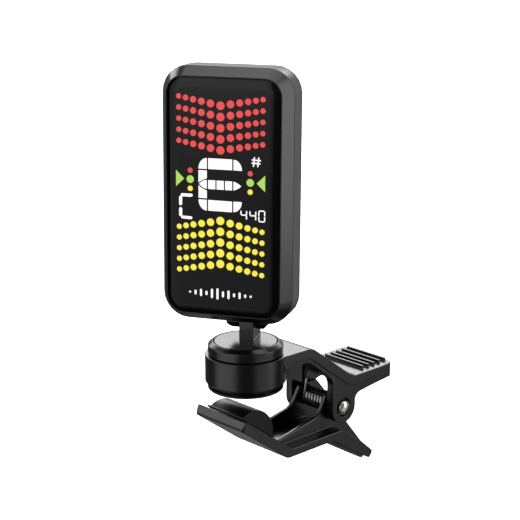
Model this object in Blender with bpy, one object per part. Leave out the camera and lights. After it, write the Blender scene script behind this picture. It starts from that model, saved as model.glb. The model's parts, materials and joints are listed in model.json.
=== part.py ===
"""Clip-on tuner: a vertical screen head on a tilting, swivelling stalk above a sprung clip.

Frame: +Z is up along the swivel axis, +X runs back along the clip to the thumb handle and -Y is
the side of the rivet head. The origin is the centre of the upper pad's underside. Lengths below are
in millimetres and every mesh is built in metres.
"""
import math

import bmesh
import bpy
from mathutils import Matrix, Vector

MM = 0.001
FIT = 0.3                      # clearance between neighbouring pieces
ARC_STEPS = 6                  # segments in a quarter of a rounded corner
ROUND_STEPS = 40               # segments round a turned piece

# Clip: both arms are bent strips with side walls, hinged on a cross pin.
CLIP_HALF_WIDTH = 8.7
STRIP = 2.4
STRAP_TOP = 8.6
SLOPE = math.atan(0.735)       # fall of the strap between its crest and the thumb handle
CREST_X = 13.95
BEND_X = 28.25
HANDLE_TOP = -1.9
HANDLE_END = (43.2, -1.5)
HANDLE_CORNER = 2.0
WALL_OUT = 8.35
WALL_IN = 6.2
PIVOT_X = 25.4
PIVOT_Z = -9.55
LUG_RADIUS = 4.1
RECESS_RADIUS = 2.4
RECESS_FLOOR = 7.3
PIN_RADIUS = 1.0
PIN_HEAD_RADIUS = 1.8
PIN_HEAD_TOP = 9.2
RIB_COUNT = 5
RIB_PITCH = 2.04
RIB_WIDTH = 0.7
RIB_LENGTH = 13.2
RIB_HEIGHT = 0.75
RIB_FIRST_X = 34.0

# Lower arm and its rubber.
JAW_SLOPE = math.atan(0.709)
JAW_TIP = (-7.6, -4.65)
WEB_OUT = 5.3
WEB_IN = 4.15
PAD_ARC_RADIUS = 6.36
PAD_RISE = 3.8
PAD_PLINTH = 0.5
PAD_START = 1.25
PAD_HALF_WIDTH = 5.9

# Spring on the pivot pin.
SPRING_WIRE_RADIUS = 0.33
SPRING_RADIUS = 2.3
SPRING_TURNS = 7
SPRING_PITCH = 1.0
SPRING_POINTS_PER_TURN = 12

# Round housing, pad, collar and turntable, all on the swivel axis.
HOUSING_RADIUS = 9.7
HOUSING_BOTTOM = 1.0
PAD_RADIUS = 9.1
PAD_STEM_RADIUS = 8.4
COLLAR_RADIUS = 9.0
COLLAR_SHOULDER = 10.9
TABLE_TOP = 11.7
TABLE_RADIUS = 7.5
LIP_RADIUS = 7.8
HUB_RADIUS = 2.9
SHELF = 4.0

# Hinge between the turntable's tongue and the head.
HEAD_TURN = 30.0               # degrees that the head is swivelled from straight ahead
HEAD_LEAN = 1.5                # degrees that the head leans back
HINGE_BACK = 3.45
HINGE_Z = 17.1
TONGUE_RADIUS = 3.1
TONGUE_HALF_WIDTH = 1.75
EAR_RADIUS = 3.0
EAR_HALF_WIDTH = 5.0
TILT_PIN_RADIUS = 0.9

# Head, in its own frame: x across, y to the rear and z up from the tilt pin.
GLASS_Y = -20.5
HEAD_HALF_WIDTH = 15.25
HEAD_BOTTOM = 3.05
HEAD_TOP = 60.6
HEAD_CORNER = 6.0
CHAMFER = 1.95
CHAMFER_DEPTH = 3.25
BEZEL_DEPTH = 8.65
COVER_FRONT = 8.85
COVER_BACK = 10.2
BOARD_FRONT = 3.7
BOARD_BACK = 4.5
CELL_RADIUS = 10.0
CELL_FRONT = 4.9
CELL_BACK = 8.1
DOOR_Z = 44.0
DOOR_RADIUS = 11.0
BUTTON_Z = 25.0
BUTTON_SPACING = 8.0
BUTTON_SIZE = (5.0, 3.2)
SCREW_PLACES = [(x, z) for z in (8.2, 55.4) for x in (-11.6, 11.6)]


# ---------------------------------------------------------------- outlines

def arc(centre, radius, start, end, steps):
    """Points along an arc, angles in degrees."""
    points = []
    for i in range(steps + 1):
        angle = math.radians(start + (end - start) * i / steps)
        points.append((centre[0] + radius * math.cos(angle), centre[1] + radius * math.sin(angle)))
    return points


def rounded(corners, steps=ARC_STEPS):
    """Turn corners (a, b, radius) into an outline with each corner rounded by its radius."""
    points = []
    count = len(corners)
    for i in range(count):
        here = Vector(corners[i][:2])
        radius = corners[i][2]
        if radius == 0:
            points.append(tuple(here))
            continue
        back = (Vector(corners[i - 1][:2]) - here).normalized()
        ahead = (Vector(corners[(i + 1) % count][:2]) - here).normalized()
        half = back.angle(ahead) / 2
        reach = radius / math.tan(half)
        centre = here + (back + ahead).normalized() * radius / math.sin(half)
        first = here + back * reach - centre
        last = here + ahead * reach - centre
        turn = math.atan2(first.x * last.y - first.y * last.x, first.dot(last))
        for k in range(steps + 1):
            swing = Matrix.Rotation(turn * k / steps, 2)
            points.append(tuple(centre + swing @ first))
    return points


def rounded_box(half_width, bottom, top, radius, steps=ARC_STEPS):
    """A rounded rectangle centred across and lying between two heights."""
    corners = [(-half_width, bottom, radius), (half_width, bottom, radius),
               (half_width, top, radius), (-half_width, top, radius)]
    return rounded(corners, steps)


def head_outline(inset):
    """The head's front outline, pulled in by an inset."""
    return rounded_box(HEAD_HALF_WIDTH - inset, HEAD_BOTTOM + inset, HEAD_TOP - inset,
                       max(HEAD_CORNER - inset, 0.6))


# ---------------------------------------------------------------- meshes

def skin(rings, ring_closed):
    """Join equal rings of points (mm) into a solid, capped at the ends or closed on itself."""
    bm = bmesh.new()
    rows = []
    for ring in rings:
        rows.append([bm.verts.new(Vector(point) * MM) for point in ring])
    count = len(rows[0])
    last = len(rows) if ring_closed else len(rows) - 1
    for r in range(last):
        here = rows[r]
        ahead = rows[(r + 1) % len(rows)]
        for i in range(count):
            j = (i + 1) % count
            bm.faces.new((here[i], here[j], ahead[j], ahead[i]))
    if not ring_closed:
        bm.faces.new(rows[0])
        bm.faces.new(rows[-1])
    bmesh.ops.recalc_face_normals(bm, faces=bm.faces)
    return bm


def prism(outline, low, high, plane):
    """Extrude an outline along the axis that its plane leaves out."""
    place = {"XZ": lambda a, b, c: (a, c, b),
             "XY": lambda a, b, c: (a, b, c),
             "YZ": lambda a, b, c: (c, a, b)}[plane]
    rings = [[place(a, b, level) for a, b in outline] for level in (low, high)]
    return skin(rings, False)


def turned(profile, steps=ROUND_STEPS):
    """Revolve a closed profile of (radius, height) about Z; points on the axis become poles."""
    bm = bmesh.new()
    rows = []
    for radius, height in profile:
        if radius == 0:
            rows.append([bm.verts.new(Vector((0, 0, height)) * MM)] * steps)
            continue
        row = []
        for i in range(steps):
            angle = 2 * math.pi * i / steps
            spot = Vector((radius * math.cos(angle), radius * math.sin(angle), height))
            row.append(bm.verts.new(spot * MM))
        rows.append(row)
    for r in range(len(rows)):
        here = rows[r]
        ahead = rows[(r + 1) % len(rows)]
        for i in range(steps):
            j = (i + 1) % steps
            corners = list(dict.fromkeys((here[i], here[j], ahead[j], ahead[i])))
            if len(corners) > 2:
                bm.faces.new(corners)
    bmesh.ops.recalc_face_normals(bm, faces=bm.faces)
    return bm


def moved(bm, x=0.0, y=0.0, z=0.0, turn=None):
    """Turn a mesh about the origin, then shift it by millimetres."""
    if turn is not None:
        bmesh.ops.transform(bm, matrix=turn, verts=bm.verts)
    bmesh.ops.translate(bm, vec=Vector((x, y, z)) * MM, verts=bm.verts)
    return bm


def tube(path, radius, sides):
    """Sweep a round section along points (mm), keeping its frame from twisting."""
    points = [Vector(point) for point in path]
    normal = (points[1] - points[0]).orthogonal().normalized()
    rings = []
    for i, point in enumerate(points):
        before = points[max(i - 1, 0)]
        after = points[min(i + 1, len(points) - 1)]
        along = (after - before).normalized()
        normal = (normal - along * normal.dot(along)).normalized()
        side = along.cross(normal)
        ring = []
        for k in range(sides):
            angle = 2 * math.pi * k / sides
            ring.append(point + radius * (normal * math.cos(angle) + side * math.sin(angle)))
        rings.append(ring)
    return skin(rings, False)


TO_Y = Matrix.Rotation(math.radians(-90), 4, "X")      # a turned piece's +Z becomes +Y
TO_X = Matrix.Rotation(math.radians(90), 4, "Y")       # a turned piece's +Z becomes +X


# ---------------------------------------------------------------- objects

def finish(name, bm, material, parent=None, sharp=35):
    """Make the named object from a mesh, smooth across its rounded faces."""
    mesh = bpy.data.meshes.new(name)
    bm.to_mesh(mesh)
    bm.free()
    mesh.shade_smooth()
    mesh.set_sharp_from_angle(angle=math.radians(sharp))
    mesh.materials.append(material)
    part = bpy.data.objects.new(name, mesh)
    bpy.context.scene.collection.objects.link(part)
    part.parent = parent
    return part


def combine(part, bm, operation, label):
    """Add or cut a helper shape with an exact Boolean; the helper is not a piece itself."""
    mesh = bpy.data.meshes.new(label)
    bm.to_mesh(mesh)
    bm.free()
    helper = bpy.data.objects.new(label, mesh)
    bpy.context.scene.collection.objects.link(helper)
    helper.parent = part.parent
    helper.hide_render = True
    helper.display_type = "WIRE"
    modifier = part.modifiers.new(label, "BOOLEAN")
    modifier.operation = operation
    modifier.object = helper
    modifier.solver = "EXACT"


def axis_empty(name, location, rotation=(0, 0, 0), parent=None):
    """An empty that stands on a joint's axis."""
    empty = bpy.data.objects.new(name, None)
    bpy.context.scene.collection.objects.link(empty)
    empty.location = Vector(location) * MM
    empty.rotation_euler = rotation
    empty.parent = parent
    return empty


def material(name, colour, roughness, metallic=0.0):
    made = bpy.data.materials.new(name)
    made.use_nodes = True
    shader = made.node_tree.nodes["Principled BSDF"]
    shader.inputs["Base Color"].default_value = (*colour, 1.0)
    shader.inputs["Roughness"].default_value = roughness
    shader.inputs["Metallic"].default_value = metallic
    made.diffuse_color = (*colour, 1.0)
    return made


# ---------------------------------------------------------------- clip

def upper_arm_parts(black, rubber):
    half = math.tan(SLOPE / 2) * STRIP
    strip = rounded([(0, STRAP_TOP, 0), (CREST_X, STRAP_TOP, 4), (BEND_X, HANDLE_TOP, 4),
                     (38.2, HANDLE_TOP + 0.1, 8), (*HANDLE_END, 0.3),
                     (HANDLE_END[0], HANDLE_END[1] - STRIP, 0), (38.2, HANDLE_TOP + 0.1 - STRIP, 0),
                     (BEND_X - half, HANDLE_TOP - STRIP, 4), (CREST_X - half, STRAP_TOP - STRIP, 2),
                     (0, STRAP_TOP - STRIP, 0)])
    arm = finish("upper_arm", prism(strip, -CLIP_HALF_WIDTH, CLIP_HALF_WIDTH, "XZ"), black)
    end_x = HANDLE_END[0] - 0.15
    low = PIVOT_Z - LUG_RADIUS
    front = PIVOT_X - LUG_RADIUS + 0.2
    rear = PIVOT_X + LUG_RADIUS
    wall = rounded([(4.5, 7.4, 0), (13.6, 7.4, 0), (27.85, -3.2, 0), (end_x, -3.0, 0),
                    (end_x, -5.3, 0.4), (36.3, -6.0, 8), (rear, -6.9, 2.0), (rear, low, 3.9),
                    (front, low, 3.9), (front, -1.5, 3.5), (13.3, 5.05, 3), (4.5, 5.05, 0)])
    for side, label in ((-1, "near_wall"), (1, "far_wall")):
        ends = sorted((side * WALL_IN, side * WALL_OUT))
        combine(arm, prism(wall, *ends, "XZ"), "UNION", label)
    # The end wall's underside carries on the side walls' own sloping line and corner.
    inner_x = end_x - 1.85
    underside = -5.3 - (end_x - inner_x) * (6.0 - 5.3) / (end_x - 36.3)
    end_wall = rounded([(inner_x, -2.6, 0), (end_x, -2.6, 0), (end_x, -5.3, 0.4),
                        (inner_x, underside, 0)])
    combine(arm, prism(end_wall, -7.0, 7.0, "XZ"), "UNION", "end_wall")
    plan = rounded([(-1.0, -CLIP_HALF_WIDTH - 1, 0), (30.0, -CLIP_HALF_WIDTH - 1, 0),
                    (30.0, -CLIP_HALF_WIDTH, 0), (HANDLE_END[0], -CLIP_HALF_WIDTH, HANDLE_CORNER),
                    (HANDLE_END[0], CLIP_HALF_WIDTH, HANDLE_CORNER), (30.0, CLIP_HALF_WIDTH, 0),
                    (30.0, CLIP_HALF_WIDTH + 1, 0), (-1.0, CLIP_HALF_WIDTH + 1, 0)])
    combine(arm, prism(plan, -20, 20, "XY"), "INTERSECT", "handle_plan")
    combine(arm, turned([(0, HOUSING_BOTTOM), (HOUSING_RADIUS - 0.8, HOUSING_BOTTOM),
                         (HOUSING_RADIUS, HOUSING_BOTTOM + 1.0), (HOUSING_RADIUS, STRAP_TOP),
                         (0, STRAP_TOP)], 64), "UNION", "housing")
    stop = [(20.9, 1.5), (22.1, 0.6), (22.1, -4.6), (20.9, -4.6)]
    combine(arm, prism(stop, 1.9, 6.8, "XZ"), "UNION", "spring_stop")
    for i in range(RIB_COUNT):
        x = RIB_FIRST_X + RIB_PITCH * i
        base = HANDLE_TOP + 0.1 + max(0, x - 38.2) * 0.06
        half_width = RIB_WIDTH / 2
        rib = [(x - half_width, base - 0.8), (x + half_width, base - 0.8),
               (x + half_width, base + RIB_HEIGHT), (x - half_width, base + RIB_HEIGHT)]
        combine(arm, prism(rib, -RIB_LENGTH / 2, RIB_LENGTH / 2, "XZ"), "UNION", "rib_%d" % i)
    combine(arm, turned([(0, HOUSING_BOTTOM - 1), (PAD_STEM_RADIUS + FIT, HOUSING_BOTTOM - 1),
                         (PAD_STEM_RADIUS + FIT, 1.8), (5.0, 1.8), (5.0, SHELF),
                         (HUB_RADIUS + FIT, SHELF), (HUB_RADIUS + FIT, STRAP_TOP + 1),
                         (0, STRAP_TOP + 1)], 64), "DIFFERENCE", "hub_bore")
    bore = turned([(0, -12), (PIN_RADIUS + FIT, -12), (PIN_RADIUS + FIT, 12), (0, 12)], 32)
    combine(arm, moved(bore, PIVOT_X, 0, PIVOT_Z, TO_Y), "DIFFERENCE", "pin_bore")
    for side, label in ((-1, "near_recess"), (1, "far_recess")):
        low_y, high_y = sorted((side * RECESS_FLOOR, side * 12))
        recess = turned([(0, low_y), (RECESS_RADIUS, low_y), (RECESS_RADIUS, high_y), (0, high_y)])
        combine(arm, moved(recess, PIVOT_X, 0, PIVOT_Z, TO_Y), "DIFFERENCE", label)
    finish("upper_pad", turned([(0, 0), (PAD_RADIUS - 0.3, 0), (PAD_RADIUS, 0.3),
                                (PAD_RADIUS, HOUSING_BOTTOM - FIT),
                                (PAD_STEM_RADIUS, HOUSING_BOTTOM - FIT), (PAD_STEM_RADIUS, 1.5),
                                (0, 1.5)], 56), rubber)


def pivot_parts(steel):
    dome = [(PIN_HEAD_RADIUS * math.cos(math.radians(a)),
             -PIN_HEAD_TOP + 0.7 - 0.7 * math.sin(math.radians(a))) for a in range(75, 0, -15)]
    pin = turned([(0, -PIN_HEAD_TOP)] + dome +
                 [(PIN_HEAD_RADIUS, -PIN_HEAD_TOP + 0.7), (PIN_HEAD_RADIUS, -RECESS_FLOOR - FIT),
                  (PIN_RADIUS, -RECESS_FLOOR - FIT), (PIN_RADIUS, 8.0), (0, 8.0)], 32)
    axis = axis_empty("jaw_axis", (PIVOT_X, 0, PIVOT_Z))
    finish("pivot_pin", moved(pin, turn=TO_Y), steel, axis)
    cap_dome = [(radius, -height) for radius, height in dome]
    cap = turned([(0, PIN_HEAD_TOP)] + cap_dome +
                 [(PIN_HEAD_RADIUS, PIN_HEAD_TOP - 0.7), (PIN_HEAD_RADIUS, RECESS_FLOOR + FIT),
                  (PIN_RADIUS + FIT, RECESS_FLOOR + FIT), (PIN_RADIUS + FIT, 8.3), (0, 8.3)], 32)
    finish("pin_retainer", moved(cap, turn=TO_Y), steel, axis)
    return axis


def spring_path():
    """Up leg at the front of the coil, the turns, then a leg along the lower handle."""
    half_length = SPRING_TURNS * SPRING_PITCH / 2
    path = [(-0.95, half_length, 6.8), (-1.7, half_length, 3.0)]
    last_angle = 360 * SPRING_TURNS + 40
    steps = SPRING_POINTS_PER_TURN * SPRING_TURNS + 1
    for i in range(steps + 1):
        share = i / steps
        angle = math.radians(180 + last_angle * share)
        path.append((SPRING_RADIUS * math.cos(angle), half_length * (1 - 2 * share),
                     SPRING_RADIUS * math.sin(angle)))
    end = Vector(path[-1])
    along = Vector((-math.sin(angle), 0, math.cos(angle)))
    path.append(tuple(end + along * 4))
    path.append(tuple(end + along * 8.2))
    return path


def lower_arm_parts(black, rubber, axis):
    """Pieces are built in the clip's frame, then carried to the jaw's axis."""
    shift = (-PIVOT_X, 0, -PIVOT_Z)
    tray = rounded([(-9.1, -6.75, 0.6), (5.9, -17.6, 3), (21.5, -17.4, 1.5), (34.8, -25.6, 0.5),
                    (36.2, -23.95, 0.6), (32.2, -20.5, 5), (24.6, -15.25, 0.6), (7.3, -15.4, 2),
                    (*JAW_TIP, 0.5)])
    arm = finish("lower_arm", moved(prism(tray, -CLIP_HALF_WIDTH, CLIP_HALF_WIDTH, "XZ"), *shift),
                 black, axis)
    web = rounded([(4.4, -14.25, 0), (19.6, -11.2, 3.5), (22.6, -6.05, 1.6), (28.4, -6.05, 1.5),
                   (31.6, -9.8, 1.2), (29.4, -14.8, 1), (35.8, -22.6, 0.3), (34.6, -23.6, 0),
                   (31.0, -21.0, 0), (21.0, -16.5, 0), (7.5, -16.5, 0)])
    for side, label in ((-1, "near_web"), (1, "far_web")):
        ends = sorted((side * WEB_IN, side * WEB_OUT))
        combine(arm, moved(prism(web, *ends, "XZ"), *shift), "UNION", label)
    skirt = [(19.0, -17.2), (32.4, -25.1), (33.6, -23.8), (24.0, -17.0)]
    for side, label in ((-1, "near_skirt"), (1, "far_skirt")):
        ends = sorted((side * WALL_IN, side * WALL_OUT))
        combine(arm, moved(prism(skirt, *ends, "XZ"), *shift), "UNION", label)
    plan = rounded([(-9.4, -CLIP_HALF_WIDTH, 2.2), (36.6, -CLIP_HALF_WIDTH, 1.2),
                    (36.6, CLIP_HALF_WIDTH, 1.2), (-9.4, CLIP_HALF_WIDTH, 2.2)])
    combine(arm, moved(prism(plan, -30, 0, "XY"), *shift), "INTERSECT", "jaw_plan")
    bore = turned([(0, -12), (PIN_RADIUS + FIT, -12), (PIN_RADIUS + FIT, 12), (0, 12)], 32)
    combine(arm, moved(bore, turn=TO_Y), "DIFFERENCE", "web_bore")
    chord = 2 * math.sqrt(PAD_ARC_RADIUS ** 2 - (PAD_ARC_RADIUS - PAD_RISE) ** 2)
    base = PAD_PLINTH + 0.2
    spread = math.degrees(math.asin(chord / 2 / PAD_ARC_RADIUS))
    centre = (PAD_START + chord / 2, base + PAD_RISE - PAD_ARC_RADIUS)
    crown = arc(centre, PAD_ARC_RADIUS, 90 - spread, 90 + spread, 18)
    low_crown = [(crown[-1][0], base - 0.6), (crown[0][0], base - 0.6)]
    plinth = [(PAD_START - 0.5, 0.2), (PAD_START + chord + 0.4, 0.2),
              (PAD_START + chord + 0.4, base), (PAD_START - 0.5, base)]

    def on_jaw(outline):
        lean = [(JAW_TIP[0] + s * math.cos(JAW_SLOPE) + h * math.sin(JAW_SLOPE),
                 JAW_TIP[1] - s * math.sin(JAW_SLOPE) + h * math.cos(JAW_SLOPE))
                for s, h in outline]
        return lean

    pad = finish("jaw_pad", moved(prism(on_jaw(plinth), -PAD_HALF_WIDTH - 0.5,
                                        PAD_HALF_WIDTH + 0.5, "XZ"), *shift), rubber, axis)
    combine(pad, moved(prism(on_jaw(crown + low_crown), -PAD_HALF_WIDTH, PAD_HALF_WIDTH, "XZ"),
                       *shift), "UNION", "pad_crown")


# ---------------------------------------------------------------- swivel

def swivel_parts(black, steel, axis):
    """The ring that stands on the housing, and the turntable that turns in it."""
    finish("swivel_collar", turned([(COLLAR_RADIUS, STRAP_TOP + 0.2), (COLLAR_RADIUS, COLLAR_SHOULDER),
                                    (LIP_RADIUS + 0.15, TABLE_TOP), (LIP_RADIUS, TABLE_TOP),
                                    (LIP_RADIUS, 9.6), (6.0, 9.6), (6.0, STRAP_TOP + 0.2)], 56), black)
    table = finish("swivel_turntable",
                   turned([(0, TABLE_TOP), (TABLE_RADIUS, TABLE_TOP), (TABLE_RADIUS, 9.9),
                           (HUB_RADIUS, 9.9), (HUB_RADIUS, SHELF + 0.1), (0, SHELF + 0.1)], 56),
                   black, axis)
    back = HINGE_BACK
    tongue = rounded([(back - TONGUE_RADIUS, TABLE_TOP - 1, 0), (back + TONGUE_RADIUS, TABLE_TOP - 1, 0),
                      (back + TONGUE_RADIUS, HINGE_Z + TONGUE_RADIUS, TONGUE_RADIUS - 0.05),
                      (back - TONGUE_RADIUS, HINGE_Z + TONGUE_RADIUS, TONGUE_RADIUS - 0.05)], 8)
    combine(table, prism(tongue, -TONGUE_HALF_WIDTH, TONGUE_HALF_WIDTH, "YZ"), "UNION", "tongue")
    bore = turned([(0, -3), (TILT_PIN_RADIUS + FIT, -3), (TILT_PIN_RADIUS + FIT, 3), (0, 3)], 24)
    combine(table, moved(bore, 0, back, HINGE_Z, TO_X), "DIFFERENCE", "tongue_bore")
    combine(table, turned([(0, 3), (1.05, 3), (1.05, 9.2), (0, 9.2)], 20), "DIFFERENCE", "screw_bore")
    finish("swivel_screw", turned([(0, 1.9), (1.9, 1.9), (2.4, 2.3), (2.4, 3.0), (0.75, 3.0),
                                   (0.75, 8.8), (0, 8.8)], 24), steel, axis)
    finish("swivel_washer", turned([(1.1, 3.3), (4.4, 3.3), (4.4, 3.8), (1.1, 3.8)], 32), steel, axis)


# ---------------------------------------------------------------- head

def sheet(inset, front, back):
    """A plate of the head's outline between two depths behind the glass plane."""
    rings = [[(x, GLASS_Y + depth, z) for x, z in head_outline(inset)] for depth in (front, back)]
    return skin(rings, False)


def disc_at(x, z, profile, steps=32):
    """A turned piece whose axis runs front to back, heights being depths behind the glass."""
    return moved(turned(profile, steps), x, GLASS_Y, z, TO_Y)


def front_bezel(black, axis):
    section = [(CHAMFER, 0), (0, CHAMFER_DEPTH), (0, BEZEL_DEPTH), (1.6, BEZEL_DEPTH), (1.6, 4.2),
               (3.6, 2.3), (3.6, 1.3), (CHAMFER + 0.2, 1.3), (CHAMFER + 0.2, 0)]
    rings = [[(x, GLASS_Y + depth, z) for x, z in head_outline(inset)] for inset, depth in section]
    bezel = finish("front_bezel", skin(rings, True), black, axis)
    for i, (x, z) in enumerate(SCREW_PLACES):
        boss = disc_at(x, z, [(0, 4.9), (2.5, 4.9), (2.5, 8.5), (0, 8.5)], 20)
        combine(bezel, boss, "UNION", "boss_%d" % i)
    for i, (x, z) in enumerate(SCREW_PLACES):
        pilot = disc_at(x, z, [(0, 5.5), (1.0, 5.5), (1.0, 9.5), (0, 9.5)], 16)
        combine(bezel, pilot, "DIFFERENCE", "pilot_%d" % i)


def notched_circle(radius, outer, half_angle, turn, steps=72):
    """A circle about the door's centre with two opposite teeth that reach an outer radius."""
    points = []
    for i in range(steps):
        angle = 360 * i / steps
        away = abs((angle - turn + 90) % 180 - 90)
        reach = outer if away <= half_angle else radius
        points.append((reach * math.cos(math.radians(angle)),
                       DOOR_Z + reach * math.sin(math.radians(angle))))
    return points


def plate(outline, front, back):
    """A flat piece of any outline between two depths behind the glass plane."""
    return prism(outline, GLASS_Y + front, GLASS_Y + back, "XZ")


def rear_cover(black, axis):
    section = [(0, COVER_FRONT), (0, COVER_BACK - 0.8), (0.8, COVER_BACK)]
    rings = [[(x, GLASS_Y + depth, z) for x, z in head_outline(inset)] for inset, depth in section]
    cover = finish("rear_cover", skin(rings, False), black, axis)
    root_y = GLASS_Y + COVER_BACK - 0.6
    arm = rounded([(EAR_RADIUS, EAR_RADIUS, 2.95), (EAR_RADIUS, -EAR_RADIUS, 2.95),
                   (-2.95, -EAR_RADIUS, 1.9), (-2.95, -0.95, 0), (root_y, 1.5, 0),
                   (root_y, 22.5, 0), (root_y + 3.4, 20.5, 2.5), (-4.2, 6.4, 4)])
    combine(cover, prism(arm, -EAR_HALF_WIDTH, EAR_HALF_WIDTH, "YZ"), "UNION", "hinge_arm")
    slot_half = TONGUE_HALF_WIDTH + FIT
    slot = rounded([(4.5, 3.5, 0), (4.5, -4.5, 0), (-4.4, -4.5, 0), (-4.4, 3.5, 2)])
    combine(cover, prism(slot, -slot_half, slot_half, "YZ"), "DIFFERENCE", "tongue_slot")
    for side, label in ((-1, "near_ear_corner"), (1, "far_ear_corner")):
        corner = [(side * (EAR_HALF_WIDTH - 1.2), -EAR_RADIUS - 1.0),
                  (side * (EAR_HALF_WIDTH + 1.0), -EAR_RADIUS - 1.0),
                  (side * (EAR_HALF_WIDTH + 1.0), -EAR_RADIUS + 1.2),
                  (side * EAR_HALF_WIDTH, -EAR_RADIUS + 1.2),
                  (side * (EAR_HALF_WIDTH - 1.2), -EAR_RADIUS)]
        combine(cover, prism(corner, -5.0, 5.0, "XZ"), "DIFFERENCE", label)
    bore = turned([(0, -6), (TILT_PIN_RADIUS + FIT, -6), (TILT_PIN_RADIUS + FIT, 6), (0, 6)], 24)
    combine(cover, moved(bore, turn=TO_X), "DIFFERENCE", "ear_bore")
    opening = notched_circle(DOOR_RADIUS + FIT, DOOR_RADIUS + 1.7, 10, 0)
    combine(cover, plate(opening, COVER_FRONT - 1, COVER_BACK + 1), "DIFFERENCE", "door_opening")
    for i in range(3):
        hole = button_outline(i, FIT)
        combine(cover, plate(hole, COVER_FRONT - 1, COVER_BACK + 1), "DIFFERENCE", "button_hole_%d" % i)
    for i, (x, z) in enumerate(SCREW_PLACES):
        seat = disc_at(x, z, [(0, 8), (1.05, 8), (1.05, 9.3), (1.85, 9.3), (1.85, 11), (0, 11)], 20)
        combine(cover, seat, "DIFFERENCE", "screw_seat_%d" % i)


def button_outline(index, grow):
    """A round-ended button outline; index counts across the back."""
    half_width = BUTTON_SIZE[0] / 2 + grow
    half_height = BUTTON_SIZE[1] / 2 + grow
    centre = (index - 1) * BUTTON_SPACING
    oval = rounded_box(half_width, BUTTON_Z - half_height, BUTTON_Z + half_height, half_height - 0.05)
    return [(centre + x, z) for x, z in oval]


def buttons_and_switches(grey, black, axis):
    for i, name in enumerate(("mode", "power", "pitch")):
        layers = [(0.6, 8.0), (0.6, 8.55), (0, 8.55), (0, 10.45), (-0.4, 10.8)]
        rings = [[(x, GLASS_Y + depth, z) for x, z in button_outline(i, grow)]
                 for grow, depth in layers]
        centre = ((i - 1) * BUTTON_SPACING, GLASS_Y + 8.0, BUTTON_Z)
        slide = axis_empty(name + "_button_axis", centre, parent=axis)
        body = moved(skin(rings, False), -centre[0], -centre[1], -centre[2])
        finish(name + "_button", body, grey, slide)
        steps = [(2.2, 0.3, 4.7), (2.2, 0.3, 6.9), (1.2, 1.15, 6.9), (1.2, 1.15, 7.55)]
        rings = [[(centre[0] + x, GLASS_Y + depth, z) for x, z in
                  rounded_box(half, BUTTON_Z - half, BUTTON_Z + half, radius, 3)]
                 for half, radius, depth in steps]
        finish(name + "_switch", skin(rings, False), black, axis)


def battery_parts(black, steel, gold, axis):
    centre = axis_empty("door_axis", (0, GLASS_Y + COVER_BACK, DOOR_Z), parent=axis)
    shift = (0, -(GLASS_Y + COVER_BACK), -DOOR_Z)
    tabs = plate(notched_circle(DOOR_RADIUS - 0.6, DOOR_RADIUS + 1.3, 8, 45), 8.3, 8.6)
    door = finish("battery_door", moved(tabs, *shift), black, centre)
    disc = disc_at(0, DOOR_Z, [(0, 8.3), (DOOR_RADIUS - 0.6, 8.3), (DOOR_RADIUS, COVER_FRONT),
                               (DOOR_RADIUS, COVER_BACK - 0.3), (DOOR_RADIUS - 0.3, COVER_BACK),
                               (0, COVER_BACK)], 72)
    combine(door, moved(disc, *shift), "UNION", "door_disc")
    slot = rounded([(-6.5, -0.8, 0.7), (6.5, -0.8, 0.7), (6.5, 0.8, 0.7), (-6.5, 0.8, 0.7)], 4)
    combine(door, prism(slot, -0.8, 1.0, "XZ"), "DIFFERENCE", "coin_slot")
    finish("coin_cell", disc_at(0, DOOR_Z, [(0, CELL_FRONT), (8.6, CELL_FRONT), (8.8, 5.4),
                                            (9.8, 5.4), (CELL_RADIUS, 5.6), (CELL_RADIUS, 7.9),
                                            (9.8, CELL_BACK), (0, CELL_BACK)], 48), steel, axis)
    leaf = rounded([(-2.0, 35.5, 0.6), (2.0, 35.5, 0.6), (2.0, 52.5, 0.6), (-2.0, 52.5, 0.6)], 3)
    finish("contact_negative", plate(leaf, BOARD_BACK + 0.1, CELL_FRONT - 0.1), gold, axis)
    side = CELL_RADIUS + FIT + 0.05
    clip = [(side, 4.65), (side + 2, 4.65), (side + 2, 4.95), (side + 0.3, 4.95),
            (side + 0.3, 7.8), (side, 7.8)]
    clip = [(x, GLASS_Y + depth) for x, depth in clip]
    finish("contact_positive", prism(clip, DOOR_Z - 4, DOOR_Z + 4, "XY"), gold, axis)


def screen_and_board(glass, panel, green, brass, axis):
    finish("display_window", sheet(CHAMFER + 0.4, 0.2, 1.1), glass, axis)
    finish("display_panel", sheet(4.0, 1.5, 3.2), panel, axis)
    finish("circuit_board", sheet(2.5, BOARD_FRONT, BOARD_BACK), green, axis)
    finish("piezo_sensor", disc_at(0, 14, [(0, 7.9), (3.4, 7.9), (3.4, 8.25), (5.0, 8.25),
                                           (5.0, 8.55), (0, 8.55)]), brass, axis)


def head_fasteners(steel, axis):
    for i, (x, z) in enumerate(SCREW_PLACES):
        screw = disc_at(x, z, [(0, 5.9), (0.75, 5.9), (0.75, 9.55), (1.5, 9.55), (1.5, 9.9),
                               (1.2, 10.15), (0, 10.15)], 20)
        finish("head_screw_%d" % (i + 1), screw, steel, axis)
    pin = turned([(0, -4.7), (0.7, -4.7), (TILT_PIN_RADIUS, -4.5), (TILT_PIN_RADIUS, 4.5),
                  (0.7, 4.7), (0, 4.7)], 24)
    finish("tilt_pin", moved(pin, turn=TO_X), steel, axis)


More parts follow.
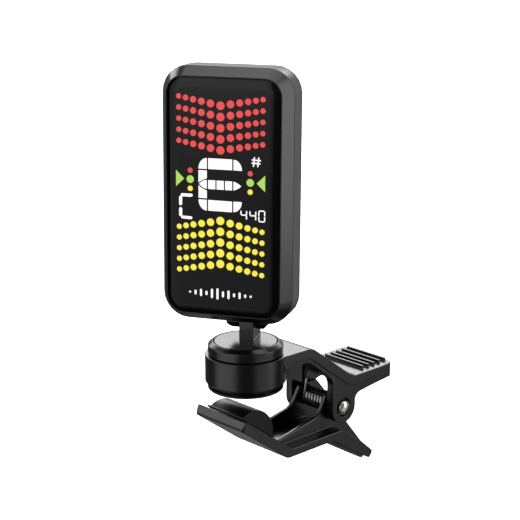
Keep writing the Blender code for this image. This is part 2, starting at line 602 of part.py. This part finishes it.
def main():
    for thing in list(bpy.data.objects):
        bpy.data.objects.remove(thing, do_unlink=True)
    black = material("black_plastic", (0.030, 0.030, 0.032), 0.35)
    rubber = material("black_rubber", (0.022, 0.022, 0.022), 0.75)
    steel = material("polished_steel", (0.55, 0.55, 0.56), 0.25, 1.0)
    glass = material("black_glass", (0.010, 0.010, 0.011), 0.08)
    panel = material("display_mask", (0.10, 0.10, 0.10), 0.6)
    green = material("board_green", (0.02, 0.13, 0.05), 0.5)
    brass = material("brass", (0.62, 0.45, 0.16), 0.3, 1.0)
    grey = material("button_grey", (0.055, 0.055, 0.058), 0.5)
    upper_arm_parts(black, rubber)
    jaw_axis = pivot_parts(steel)
    finish("torsion_spring", tube(spring_path(), SPRING_WIRE_RADIUS, 7), steel, jaw_axis)
    lower_arm_parts(black, rubber, jaw_axis)
    swivel = axis_empty("swivel_axis", (0, 0, 0), (0, 0, math.radians(HEAD_TURN - 90)))
    swivel_parts(black, steel, swivel)
    tilt = axis_empty("tilt_axis", (0, HINGE_BACK, HINGE_Z), (math.radians(-HEAD_LEAN), 0, 0), swivel)
    front_bezel(black, tilt)
    rear_cover(black, tilt)
    screen_and_board(glass, panel, green, brass, tilt)
    battery_parts(black, steel, brass, tilt)
    buttons_and_switches(grey, black, tilt)
    head_fasteners(steel, tilt)


main()
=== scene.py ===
"""Looks for the clip-on tuner: softened edges, procedural materials, the lit screen and the studio.

Lengths named in millimetres are turned to metres by MM. Screen marks are laid out in the head's own
frame: x across the glass, y to the rear and z up, from the tilt pin.
"""
import json
import math

import bmesh
import bpy
from mathutils import Matrix, Vector


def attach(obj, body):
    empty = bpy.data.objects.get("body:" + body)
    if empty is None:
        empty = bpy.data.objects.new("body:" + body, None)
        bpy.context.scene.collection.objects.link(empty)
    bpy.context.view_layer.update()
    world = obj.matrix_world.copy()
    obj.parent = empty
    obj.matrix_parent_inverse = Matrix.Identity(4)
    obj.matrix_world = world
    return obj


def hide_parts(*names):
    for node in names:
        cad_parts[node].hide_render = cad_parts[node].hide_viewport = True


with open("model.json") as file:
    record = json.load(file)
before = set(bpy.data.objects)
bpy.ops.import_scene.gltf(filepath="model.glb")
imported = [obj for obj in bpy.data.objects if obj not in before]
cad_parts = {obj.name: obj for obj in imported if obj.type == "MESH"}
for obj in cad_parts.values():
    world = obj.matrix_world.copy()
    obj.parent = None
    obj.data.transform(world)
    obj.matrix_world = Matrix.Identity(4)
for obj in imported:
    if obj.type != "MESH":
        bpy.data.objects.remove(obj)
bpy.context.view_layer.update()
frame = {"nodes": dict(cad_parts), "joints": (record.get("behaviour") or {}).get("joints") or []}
nodes = frame["nodes"]
joints = {joint["name"]: joint for joint in frame["joints"]}

MM = 0.001
GLASS_FRONT = -20.3            # front face of the window, in the head's frame
MARK_LIFT = 0.05               # thickness of a screen mark
FLOOR_Z = -0.0305              # below the lower lever when the jaw is fully open
GLOW_Z = -0.0266

# Light round the object: azimuth, half width, side fade, low edge, high edge, fade, radiance.
STUDIO_PANELS = [
    (50, 34, 14, 17, 37, 4, 4.8),       # broad panel behind and above
    (44, 10, 6, -10, 12, 4, 0.4),       # its spill near the horizon
    (308, 11, 6, -14, 60, 5, 2.6),      # tall box to the right
    (286, 24, 17, -40, -14, 8, 0.75),   # fill below it
    (12, 16, 8, -22, 30, 5, 0.28),      # far right
    (168, 27, 18, -36, 45, 8, 1.1),     # box to the left
    (192, 14, 8, -5, 30, 5, 1.2),       # its brighter upper end
    (125, 18, 10, 18, 45, 6, 1.5),      # high on the left
    (70, 180, 1, 57, 95, 6, 1.6),       # overhead
]

GROUND_LIGHT = 0.07            # all round, from below
SKY_LIGHT = 0.18               # added above the horizon
GLOW_SIZE = 0.06
GLOW_RADIANCE = 0.13

# The head's frame comes from the axes of its own joints.
tilt = joints["head_tilt"]
across = Vector(tilt["axis"]).normalized()
rearward = Vector(joints["door_turn"]["axis"]).normalized()
upward = across.cross(rearward)
head_frame = Matrix.Translation(Vector(tilt["pos_m"])) @ Matrix(
    (across, rearward, upward)).transposed().to_4x4()


# ---------------------------------------------------------------- materials

def start_material(name, colour, roughness, metallic=0.0, specular=0.5):
    """A Principled material with its shader, its nodes and the piece's own coordinates at hand."""
    made = bpy.data.materials.new(name)
    made.use_nodes = True
    tree = made.node_tree
    shader = tree.nodes["Principled BSDF"]
    shader.inputs["Base Color"].default_value = (*colour, 1.0)
    shader.inputs["Roughness"].default_value = roughness
    shader.inputs["Metallic"].default_value = metallic
    shader.inputs["Specular IOR Level"].default_value = specular
    place = tree.nodes.new("ShaderNodeTexCoord")
    return made, tree, shader, place.outputs["Object"]


def noise(tree, place, scale, detail=3.0, stretch=None):
    """A noise value; stretch scales the coordinates first, for brushed or drawn metal."""
    texture = tree.nodes.new("ShaderNodeTexNoise")
    texture.inputs["Scale"].default_value = scale
    texture.inputs["Detail"].default_value = detail
    if stretch is not None:
        mapping = tree.nodes.new("ShaderNodeMapping")
        mapping.inputs["Scale"].default_value = stretch
        tree.links.new(place, mapping.inputs["Vector"])
        place = mapping.outputs["Vector"]
    tree.links.new(place, texture.inputs["Vector"])
    return texture.outputs["Fac"]


def spread(tree, value, low, high, start=0.3, end=0.7):
    """Carry a noise value to the range low to high."""
    remap = tree.nodes.new("ShaderNodeMapRange")
    remap.inputs["From Min"].default_value = start
    remap.inputs["From Max"].default_value = end
    remap.inputs["To Min"].default_value = low
    remap.inputs["To Max"].default_value = high
    tree.links.new(value, remap.inputs["Value"])
    return remap.outputs["Result"]


def tint(tree, value, dark, light):
    """Mix two colours by a value."""
    mix = tree.nodes.new("ShaderNodeMix")
    mix.data_type = "RGBA"
    mix.inputs["A"].default_value = (*dark, 1.0)
    mix.inputs["B"].default_value = (*light, 1.0)
    tree.links.new(value, mix.inputs["Factor"])
    return mix.outputs["Result"]


def bump(tree, height, strength, distance, shader):
    node = tree.nodes.new("ShaderNodeBump")
    node.inputs["Strength"].default_value = strength
    node.inputs["Distance"].default_value = distance
    tree.links.new(height, node.inputs["Height"])
    tree.links.new(node.outputs["Normal"], shader.inputs["Normal"])


def surface(name, dark, light, rough, cloud=900.0, grain=5200.0, grain_strength=0.12,
            grain_depth=0.00002, metallic=0.0, specular=0.5, stretch=None):
    """A moulded or metal surface: clouded colour and roughness over a fine grain."""
    made, tree, shader, place = start_material(name, light, rough[0], metallic, specular)
    wide = noise(tree, place, cloud, 2.0, stretch)
    fine = noise(tree, place, grain, 3.0, stretch)
    tree.links.new(tint(tree, spread(tree, wide, 0, 1), dark, light), shader.inputs["Base Color"])
    tree.links.new(spread(tree, wide, rough[0], rough[1]), shader.inputs["Roughness"])
    bump(tree, fine, grain_strength, grain_depth, shader)
    return made


def lit_mark(name, colour, strength):
    """A lit screen mark: the colour glows, a little stronger in some grains than in others."""
    made, tree, shader, place = start_material(name, colour, 0.3)
    grain = noise(tree, place, 2600.0, 2.0)
    dimmer = tuple(0.9 * part for part in colour)
    glow = tint(tree, spread(tree, grain, 0, 1), dimmer, colour)
    shader.inputs["Base Color"].default_value = (*[0.02 * part for part in colour], 1.0)
    tree.links.new(glow, shader.inputs["Emission Color"])
    shader.inputs["Emission Strength"].default_value = strength
    return made


PLASTIC = surface("moulded_black", (0.0035, 0.0035, 0.0037), (0.0055, 0.0055, 0.0057), (0.19, 0.24),
                  grain_strength=0.06)
SATIN = surface("satin_black", (0.0035, 0.0035, 0.0037), (0.0055, 0.0055, 0.0057), (0.14, 0.18),
                grain_strength=0.04)
GLASS = surface("window_glass", (0.002, 0.002, 0.0021), (0.0025, 0.0025, 0.0026), (0.035, 0.06),
                cloud=160.0, grain=900.0, grain_strength=0.02, grain_depth=0.00001, specular=0.16)
RUBBER = surface("pad_rubber", (0.003, 0.003, 0.003), (0.005, 0.005, 0.0052), (0.27, 0.3),
                 cloud=300.0, grain=7000.0, grain_strength=0.02, specular=0.2)
STEEL = surface("nickelled_steel", (0.40, 0.385, 0.37), (0.58, 0.56, 0.54), (0.16, 0.26),
                metallic=1.0, grain=3000.0, stretch=(1.0, 0.15, 1.0))
WIRE = surface("spring_wire_steel", (0.30, 0.30, 0.30), (0.50, 0.50, 0.50), (0.10, 0.16),
               metallic=1.0, grain=5000.0)
BRASS = surface("brass_sheet", (0.45, 0.31, 0.10), (0.62, 0.45, 0.16), (0.22, 0.34), metallic=1.0)
BOARD = surface("board_lacquer", (0.008, 0.07, 0.025), (0.015, 0.11, 0.04), (0.3, 0.42), grain=2600.0)
MASK = surface("screen_mask", (0.012, 0.012, 0.012), (0.03, 0.03, 0.03), (0.5, 0.62))
SILICONE = surface("button_silicone", (0.030, 0.030, 0.032), (0.045, 0.045, 0.048), (0.42, 0.55),
                   grain=7000.0, grain_strength=0.2)
RED = lit_mark("mark_red", (0.80, 0.045, 0.045), 1.0)
YELLOW = lit_mark("mark_yellow", (0.96, 0.84, 0.045), 1.0)
GREEN = lit_mark("mark_green", (0.40, 0.72, 0.09), 1.0)
WHITE = lit_mark("mark_white", (1.0, 1.0, 1.0), 1.1)


# ---------------------------------------------------------------- softened CAD pieces

def tidy_group():
    """Join the facets' corners and shade them smooth, before edges are bevelled."""
    group = bpy.data.node_groups.new("join_facets", "GeometryNodeTree")
    group.interface.new_socket("Geometry", in_out="INPUT", socket_type="NodeSocketGeometry")
    group.interface.new_socket("Geometry", in_out="OUTPUT", socket_type="NodeSocketGeometry")
    start = group.nodes.new("NodeGroupInput")
    weld = group.nodes.new("GeometryNodeMergeByDistance")
    weld.inputs["Distance"].default_value = 0.000003
    bare = group.nodes.new("GeometryNodeRemoveAttribute")
    bare.inputs["Name"].default_value = "custom_normal"
    smooth = group.nodes.new("GeometryNodeSetShadeSmooth")
    end = group.nodes.new("NodeGroupOutput")
    group.links.new(start.outputs[0], weld.inputs[0])
    group.links.new(weld.outputs[0], bare.inputs[0])
    group.links.new(bare.outputs[0], smooth.inputs[0])
    group.links.new(smooth.outputs[0], end.inputs[0])
    return group


JOIN = tidy_group()


def dress(name, material, width=0.15, segments=2, angle=24):
    """Give a CAD node its material and soft edges; its own mesh stays as packed."""
    node = nodes[name]
    node.data.materials.clear()
    node.data.materials.append(material)
    join = node.modifiers.new("join_facets", "NODES")
    join.node_group = JOIN
    flat = node.modifiers.new("flat_faces", "DECIMATE")
    flat.decimate_type = "DISSOLVE"
    flat.angle_limit = math.radians(0.6)
    if width:
        soft = node.modifiers.new("soft_edges", "BEVEL")
        soft.width = width * MM
        soft.segments = segments
        soft.limit_method = "ANGLE"
        soft.angle_limit = math.radians(angle)
        soft.use_clamp_overlap = False
        soft.miter_outer = "MITER_ARC"
        weigh = node.modifiers.new("flat_stays_flat", "WEIGHTED_NORMAL")
        weigh.mode = "FACE_AREA"
        weigh.weight = 60
    return node


dress("upper_arm", PLASTIC, 0.14)
dress("lower_arm", PLASTIC, 0.24)
dress("swivel_collar", PLASTIC, 0.12)
dress("swivel_turntable", PLASTIC, 0.12)
dress("front_bezel", SATIN, 0.12)
dress("rear_cover", SATIN, 0.08)      # wider edges would close over the button openings
dress("display_panel", MASK, 0.1)
dress("circuit_board", BOARD, 0.05)
dress("upper_pad", RUBBER, 0.12)
dress("jaw_pad", RUBBER, 0.15)
dress("battery_door", SATIN, 0.12)
for button in ("mode", "power", "pitch"):
    dress(button + "_button", SILICONE, 0.12)
    dress(button + "_switch", SILICONE, 0.05)
for fastener in ("pivot_pin", "pin_retainer", "swivel_screw", "swivel_washer", "coin_cell",
                 "tilt_pin", "head_screw_1", "head_screw_2", "head_screw_3", "head_screw_4"):
    dress(fastener, STEEL, 0.08)
for leaf in ("contact_negative", "contact_positive", "piezo_sensor"):
    dress(leaf, BRASS, 0.04)


# ---------------------------------------------------------------- new meshes

def piece(name, bm, material, body, sharp=35):
    """A finished piece in the object's frame that moves with a CAD body."""
    bmesh.ops.recalc_face_normals(bm, faces=bm.faces)
    mesh = bpy.data.meshes.new(name)
    bm.to_mesh(mesh)
    bm.free()
    mesh.shade_smooth()
    mesh.set_sharp_from_angle(angle=math.radians(sharp))
    mesh.materials.append(material)
    made = bpy.data.objects.new(name, mesh)
    bpy.context.scene.collection.objects.link(made)
    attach(made, body)
    return made


def slab(bm, outline, back, front, edge=0.0):
    """Extrude an outline of (x, z) between two depths in the head's frame, in millimetres."""
    middle = Vector((sum(x for x, _ in outline), sum(z for _, z in outline))) / len(outline)
    layers = [(back, 0.0), (front + edge, 0.0), (front, edge)] if edge else [(back, 0.0), (front, 0.0)]
    rings = []
    for depth, inset in layers:
        ring = []
        for x, z in outline:
            pull = (middle - Vector((x, z)))
            shift = pull.normalized() * min(inset, pull.length * 0.4)
            place = Vector((x + shift.x, depth, z + shift.y)) * MM
            ring.append(bm.verts.new(head_frame @ place))
        rings.append(ring)
    count = len(outline)
    for here, ahead in zip(rings, rings[1:]):
        for i in range(count):
            j = (i + 1) % count
            bm.faces.new((here[i], here[j], ahead[j], ahead[i]))
    bm.faces.new(rings[0])
    bm.faces.new(rings[-1])


def circle(x, z, radius, steps=24):
    return [(x + radius * math.cos(2 * math.pi * i / steps),
             z + radius * math.sin(2 * math.pi * i / steps)) for i in range(steps)]


def stroke(start, end, width, steps=6):
    """A straight bar with round ends."""
    a, b = Vector(start), Vector(end)
    angle = math.atan2(b.y - a.y, b.x - a.x)
    half = width / 2
    outline = []
    for centre, turn in ((b, -90), (a, 90)):
        for i in range(steps + 1):
            swing = angle + math.radians(turn + 180 * i / steps)
            outline.append((centre.x + half * math.cos(swing), centre.y + half * math.sin(swing)))
    return outline


def quarter(centre, radius, start, steps=8):
    return [(centre[0] + radius[0] * math.cos(math.radians(start + 90 * i / steps)),
             centre[1] + radius[1] * math.sin(math.radians(start + 90 * i / steps)))
            for i in range(steps + 1)]


def marks(name, outlines, material):
    """Screen marks of one colour, laid on the window."""
    bm = bmesh.new()
    for outline in outlines:
        slab(bm, outline, GLASS_FRONT - 0.005, GLASS_FRONT - MARK_LIFT, 0.02)
    return piece(name, bm, material, "head")


# ---------------------------------------------------------------- window

HEAD_HALF_WIDTH = 15.25
HEAD_BOTTOM = 3.05
HEAD_TOP = 60.6
HEAD_CORNER = 6.0
WINDOW_INSET = 2.35            # the window's edge, in from the head's outline
WINDOW_BACK = -19.4
RIM_WIDTH = 2.3                # the rounded border of the glass
RIM_DROP = 0.42


def head_outline(inset, steps=14):
    """The head's front outline, pulled in by an inset."""
    radius = max(HEAD_CORNER - inset, 0.8)
    x = HEAD_HALF_WIDTH - inset - radius
    low, high = HEAD_BOTTOM + inset + radius, HEAD_TOP - inset - radius
    points = []
    for centre, start in (((x, high), 0), ((-x, high), 90), ((-x, low), 180), ((x, low), 270)):
        points += quarter(centre, (radius, radius), start, steps)
    return points


def window_glass():
    """A plate of glass whose front rolls off towards its edge."""
    profile = [(WINDOW_INSET + 0.1, WINDOW_BACK), (WINDOW_INSET, WINDOW_BACK - 0.1)]
    for i in range(9):
        reach = i / 8
        profile.append((WINDOW_INSET + RIM_WIDTH * reach, GLASS_FRONT + RIM_DROP * (1 - reach) ** 2))
    bm = bmesh.new()
    rings = []
    for inset, depth in profile:
        rings.append([bm.verts.new(head_frame @ (Vector((x, depth, z)) * MM))
                      for x, z in head_outline(inset)])
    count = len(rings[0])
    for here, ahead in zip(rings, rings[1:]):
        for i in range(count):
            j = (i + 1) % count
            bm.faces.new((here[i], here[j], ahead[j], ahead[i]))
    bm.faces.new(rings[0])
    bm.faces.new(rings[-1])
    return bm


window = piece("display_window_glass", window_glass(), GLASS, "head", 30)
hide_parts("display_window")

# ---------------------------------------------------------------- screen marks

MARK_CENTRE = -0.67
SIDE_COLUMNS = 5
COLUMN_PITCH = 2.29            # centre column to the next
DOT_DIAMETER = 1.88            # in the centre column
SHRINK = 0.915                 # of pitch and diameter, from each column to the next one out
ROW_PITCH = 2.45


def dot_fan(top_z, rise):
    """Five rows of dots that shrink outwards, each row bending up or down from its centre."""
    dots = []
    for row in range(5):
        for column in range(-SIDE_COLUMNS, SIDE_COLUMNS + 1):
            steps = abs(column)
            offset = COLUMN_PITCH * sum(SHRINK ** i for i in range(steps))
            x = MARK_CENTRE + math.copysign(offset, column)
            z = top_z - row * ROW_PITCH + rise * offset
            dots.append(circle(x, z, DOT_DIAMETER * SHRINK ** steps / 2))
    return dots


LETTER_MIDDLE = 34.77          # height of the letter's middle bar
LETTER_LEFT, LETTER_RIGHT = -5.76, 4.3
LETTER_STEM = -3.82            # the stem's inner edge
BAR_HALF_HEIGHT = 1.0          # of the middle bar


def letter_outlines():
    """A big segmented letter: two round-cornered bars, a stem and a pointed middle bar."""
    gap_in, gap_out = -3.5, (2.05, 2.37)
    outlines = []
    for sign in (1, -1):

        def at(x, rise, sign=sign):
            return (x, LETTER_MIDDLE + sign * rise)

        corner = [at(x, z) for x, z in quarter((LETTER_STEM, 3.46), (LETTER_STEM - LETTER_LEFT, 2.42), 90)]
        outlines.append([at(LETTER_STEM, 3.46)] + corner)
        outlines.append([at(gap_in, 3.46), at(gap_out[0], 3.5), at(gap_out[0], 5.88), at(gap_in, 5.88)])
        tail = [at(x, z) for x, z in quarter((gap_out[1], 3.48), (LETTER_RIGHT - gap_out[1], 2.35), 0)]
        outlines.append([at(gap_out[1], 3.48)] + tail)
        outlines.append([at(LETTER_LEFT, 3.1), at(LETTER_STEM, 3.12), at(LETTER_STEM, 1.38),
                         at(-4.6, 1.08), at(-5.2, 0.76), at(LETTER_LEFT, 0.32)])
    low, high = LETTER_MIDDLE - BAR_HALF_HEIGHT, LETTER_MIDDLE + BAR_HALF_HEIGHT
    outlines.append([(LETTER_LEFT + 0.1, 34.79), (-5.0, 35.4), (-4.4, 35.7),
                     (LETTER_STEM, 34.79 + BAR_HALF_HEIGHT), (LETTER_STEM, 34.79 - BAR_HALF_HEIGHT),
                     (-4.4, 33.9), (-5.0, 34.2)])
    for start, end in ((-3.5, -1.84), (-1.54, 0.13), (0.43, 2.05)):
        outlines.append([(start, low), (end, low), (end, high), (start, high)])
    outlines.append([(gap_out[1], low), (3.1, 34.05), (3.7, 34.4), (4.16, 34.79), (3.7, 35.15),
                     (3.1, 35.5), (gap_out[1], high)])
    return outlines


SEGMENTS = {"0": "abcdef", "4": "bcfg"}      # the lit segments of each digit


def digit(text, x, low, width, height, thick):
    """A seven-segment digit."""
    mid, top, gap = low + height / 2, low + height, 0.62 * thick
    ends = {"a": ((x + gap, top), (x + width - gap, top)), "d": ((x + gap, low), (x + width - gap, low)),
            "g": ((x + gap, mid), (x + width - gap, mid)),
            "f": ((x, mid + gap), (x, top - gap)), "b": ((x + width, mid + gap), (x + width, top - gap)),
            "e": ((x, low + gap), (x, mid - gap)), "c": ((x + width, low + gap), (x + width, mid - gap))}
    return [stroke(*ends[key], thick, 3) for key in SEGMENTS[text]]


marks("screen_dots_red", dot_fan(52.3, 0.18) + [circle(x, 37.73, 0.6) for x in (-7.7, 6.2)], RED)
marks("screen_dots_yellow", dot_fan(26.75, -0.195) + [circle(x, 33.65, 0.6) for x in (-7.7, 6.2)], YELLOW)
marks("screen_marks_green", [circle(x, 35.72, 0.86) for x in (-7.7, 6.2)] + [
    [(-11.04, 37.63), (-9.12, 35.8), (-11.04, 33.92)],
    [(9.62, 37.5), (7.68, 35.65), (9.62, 33.86)]], GREEN)
small_letter = [stroke((-9.6, 32.08), (-7.5, 32.12), 0.72), stroke((-9.98, 31.5), (-9.98, 30.05), 0.72),
                stroke((-9.98, 28.9), (-9.98, 27.55), 0.72), stroke((-9.55, 27.05), (-7.55, 27.0), 0.66)]
sharp_sign = [stroke((7.14, 41.3), (6.93, 39.42), 0.3), stroke((8.12, 41.32), (7.91, 39.42), 0.3),
              stroke((6.66, 40.8), (8.5, 40.74), 0.3), stroke((6.6, 40.12), (8.42, 40.05), 0.3)]
digits = (digit("4", 4.12, 27.4, 1.28, 2.05, 0.28) + digit("4", 6.2, 27.4, 1.32, 2.05, 0.28)
          + digit("0", 8.24, 27.2, 1.32, 2.4, 0.28))
marks("screen_marks_white", letter_outlines() + small_letter + sharp_sign + digits, WHITE)

WAVE_HEIGHTS = (0.5, 1.1, 1.7, 1.0, 2.2, 2.6, 1.4, 2.0, 0.9, 1.5, 0.8, 0.45)
wave = []
for i, height in enumerate(WAVE_HEIGHTS):
    x = MARK_CENTRE + (i - (len(WAVE_HEIGHTS) - 1) / 2) * 1.3
    wave.append(stroke((x, 10.0 - height / 2 + 0.25), (x, 10.0 + height / 2 - 0.25), 0.5))
marks("sound_wave_glyph", wave, WHITE)


# ---------------------------------------------------------------- spring

SPRING_AXIS = Vector(joints["jaw_pivot"]["pos_m"]) / MM
SPRING_RADIUS = 2.3
SPRING_TURNS = 7
SPRING_PITCH = 1.0
HALF_COIL = SPRING_TURNS * SPRING_PITCH / 2
WIRE_RADIUS = 0.33
COIL_START = 180.0             # degrees round the hinge, where the upper leg leaves
COIL_SWEEP = 360 * SPRING_TURNS + 40
LEG_OVERLAP = 50.0             # stretch of coil that the moving leg shares, past the jaw's 40 degrees
LEG_LENGTH = 8.2


def coil_point(turned):
    """A point of the coil, so many degrees from its start, from the hinge axis."""
    angle = math.radians(COIL_START + turned)
    return Vector((SPRING_RADIUS * math.cos(angle), HALF_COIL * (1 - 2 * turned / COIL_SWEEP),
                   SPRING_RADIUS * math.sin(angle)))


def tube(path, radius, sides=12):
    """A round wire along a path given from the hinge axis, in millimetres."""
    bm = bmesh.new()
    normal = (path[1] - path[0]).orthogonal().normalized()
    rings = []
    for i, point in enumerate(path):
        run = (path[min(i + 1, len(path) - 1)] - path[max(i - 1, 0)]).normalized()
        normal = (normal - run * normal.dot(run)).normalized()
        side = run.cross(normal)
        ring = []
        for k in range(sides):
            swing = 2 * math.pi * k / sides
            reach = radius * (normal * math.cos(swing) + side * math.sin(swing))
            ring.append(bm.verts.new((SPRING_AXIS + point + reach) * MM))
        rings.append(ring)
    for here, ahead in zip(rings, rings[1:]):
        for k in range(sides):
            bm.faces.new((here[k], here[(k + 1) % sides], ahead[(k + 1) % sides], ahead[k]))
    bm.faces.new(rings[0])
    bm.faces.new(rings[-1])
    return bm


def coil_stretch(start, end, step=10.0):
    count = max(2, round((end - start) / step))
    return [coil_point(start + (end - start) * i / count) for i in range(count + 1)]


upper_leg = [Vector((-0.95, HALF_COIL, 6.8)), Vector((-1.32, HALF_COIL, 4.9)),
             Vector((-1.7, HALF_COIL, 3.0))]
coil = piece("torsion_spring_wire", tube(upper_leg + coil_stretch(0, COIL_SWEEP), WIRE_RADIUS),
             WIRE, "clip_base")
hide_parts("torsion_spring")

# The lower leg rests on the lower lever and turns with it, winding the spring.
leg_angle = math.radians(COIL_START + COIL_SWEEP)
leg_run = Vector((-math.sin(leg_angle), 0, math.cos(leg_angle)))
leg_root = coil_point(COIL_SWEEP)
leg_path = coil_stretch(COIL_SWEEP - LEG_OVERLAP, COIL_SWEEP, 8.0)
leg_path += [leg_root + leg_run * LEG_LENGTH / 2, leg_root + leg_run * LEG_LENGTH]
piece("torsion_spring_leg", tube(leg_path, WIRE_RADIUS + 0.01), WIRE, "lower_jaw")


# ---------------------------------------------------------------- studio

scene = bpy.context.scene
world = bpy.data.worlds.new("studio")
scene.world = world
world.use_nodes = True
sky = world.node_tree
for old in list(sky.nodes):
    sky.nodes.remove(old)


def calc(operation, first, second):
    """A Math node over two inputs, each a socket or a number."""
    node = sky.nodes.new("ShaderNodeMath")
    node.operation = operation
    for socket, value in zip(node.inputs, (first, second)):
        if isinstance(value, (int, float)):
            socket.default_value = value
        else:
            sky.links.new(value, socket)
    return node.outputs["Value"]


def soft_step(value, low, high):
    """0 below low and 1 above high, smooth in between; low above high turns it round."""
    node = sky.nodes.new("ShaderNodeMapRange")
    node.interpolation_type = "SMOOTHSTEP"
    start, end = min(low, high), max(low, high)
    node.inputs["From Min"].default_value = start
    node.inputs["From Max"].default_value = end
    node.inputs["To Min"].default_value = 0.0 if low < high else 1.0
    node.inputs["To Max"].default_value = 1.0 if low < high else 0.0
    sky.links.new(value, node.inputs["Value"])
    return node.outputs["Result"]


direction = sky.nodes.new("ShaderNodeTexCoord").outputs["Generated"]
split = sky.nodes.new("ShaderNodeSeparateXYZ")
sky.links.new(direction, split.inputs[0])
east, north, height = split.outputs
level = calc("SQRT", calc("ADD", calc("MULTIPLY", east, east), calc("MULTIPLY", north, north)), 0)
level = calc("MAXIMUM", level, 0.001)


def panel(azimuth, half_width, side_fade, low, high, fade, radiance):
    """A soft-edged bright panel round the object, placed by azimuth and elevation in degrees."""
    facing = calc("DIVIDE", calc("ADD", calc("MULTIPLY", east, math.cos(math.radians(azimuth))),
                                 calc("MULTIPLY", north, math.sin(math.radians(azimuth)))), level)
    outer = math.cos(math.radians(min(180, half_width + side_fade)))
    inner = math.cos(math.radians(max(0, half_width - side_fade)))
    lift = soft_step(height, math.sin(math.radians(low - fade)), math.sin(math.radians(low + fade)))
    drop = soft_step(height, math.sin(math.radians(min(90, high + fade))),
                     math.sin(math.radians(high - fade)))
    shape = calc("MULTIPLY", soft_step(facing, outer, inner), calc("MULTIPLY", lift, drop))
    return calc("MULTIPLY", shape, radiance)


light = calc("ADD", calc("MULTIPLY", soft_step(height, -0.35, 0.1), SKY_LIGHT), GROUND_LIGHT)
for spec in STUDIO_PANELS:
    light = calc("ADD", light, panel(*spec))
lit = sky.nodes.new("ShaderNodeBackground")
sky.links.new(light, lit.inputs["Strength"])
seen = sky.nodes.new("ShaderNodeBackground")
for background in (lit, seen):
    background.inputs["Color"].default_value = (1, 1, 1, 1)
choose = sky.nodes.new("ShaderNodeMixShader")
out = sky.nodes.new("ShaderNodeOutputWorld")
sky.links.new(sky.nodes.new("ShaderNodeLightPath").outputs["Is Camera Ray"], choose.inputs["Fac"])
sky.links.new(lit.outputs[0], choose.inputs[1])
sky.links.new(seen.outputs[0], choose.inputs[2])
sky.links.new(choose.outputs[0], out.inputs["Surface"])

bm = bmesh.new()
bmesh.ops.create_grid(bm, x_segments=8, y_segments=8, size=6.0)
bmesh.ops.translate(bm, vec=(0, 0, FLOOR_Z), verts=bm.verts)
floor_mesh = bpy.data.meshes.new("floor")
bm.to_mesh(floor_mesh)
bm.free()
floor = bpy.data.objects.new("floor", floor_mesh)
scene.collection.objects.link(floor)
pale, tree, shader, place = start_material("pale_floor", (0.85, 0.85, 0.85), 0.9, 0.0, 0.0)
tree.links.new(tint(tree, noise(tree, place, 3.0), (0.84, 0.84, 0.84), (0.88, 0.88, 0.88)),
               shader.inputs["Base Color"])
shader.inputs["Emission Color"].default_value = (1, 1, 1, 1)
shader.inputs["Emission Strength"].default_value = 0.95
floor_mesh.materials.append(pale)
floor.visible_glossy = False
floor.visible_diffuse = False

glow_data = bpy.data.lights.new("floor_glow", "AREA")
glow_data.shape = "SQUARE"
glow_data.size = GLOW_SIZE
glow_data.energy = GLOW_RADIANCE * math.pi * GLOW_SIZE ** 2
glow = bpy.data.objects.new("floor_glow", glow_data)
glow.location = (0.008, 0.012, GLOW_Z)
glow.rotation_euler = (math.pi, 0, 0)
glow.visible_camera = False
scene.collection.objects.link(glow)

camera_data = bpy.data.cameras.new("camera")
camera_data.lens = 99.69
camera_data.sensor_width = 36
camera_data.clip_start = 0.01
camera = bpy.data.objects.new("camera", camera_data)
camera.location = (-0.21942, -0.24031, 0.11795)
camera.rotation_euler = (math.radians(75.1), 0, math.radians(-43.0))
scene.collection.objects.link(camera)
scene.camera = camera
scene.view_settings.view_transform = "Standard"
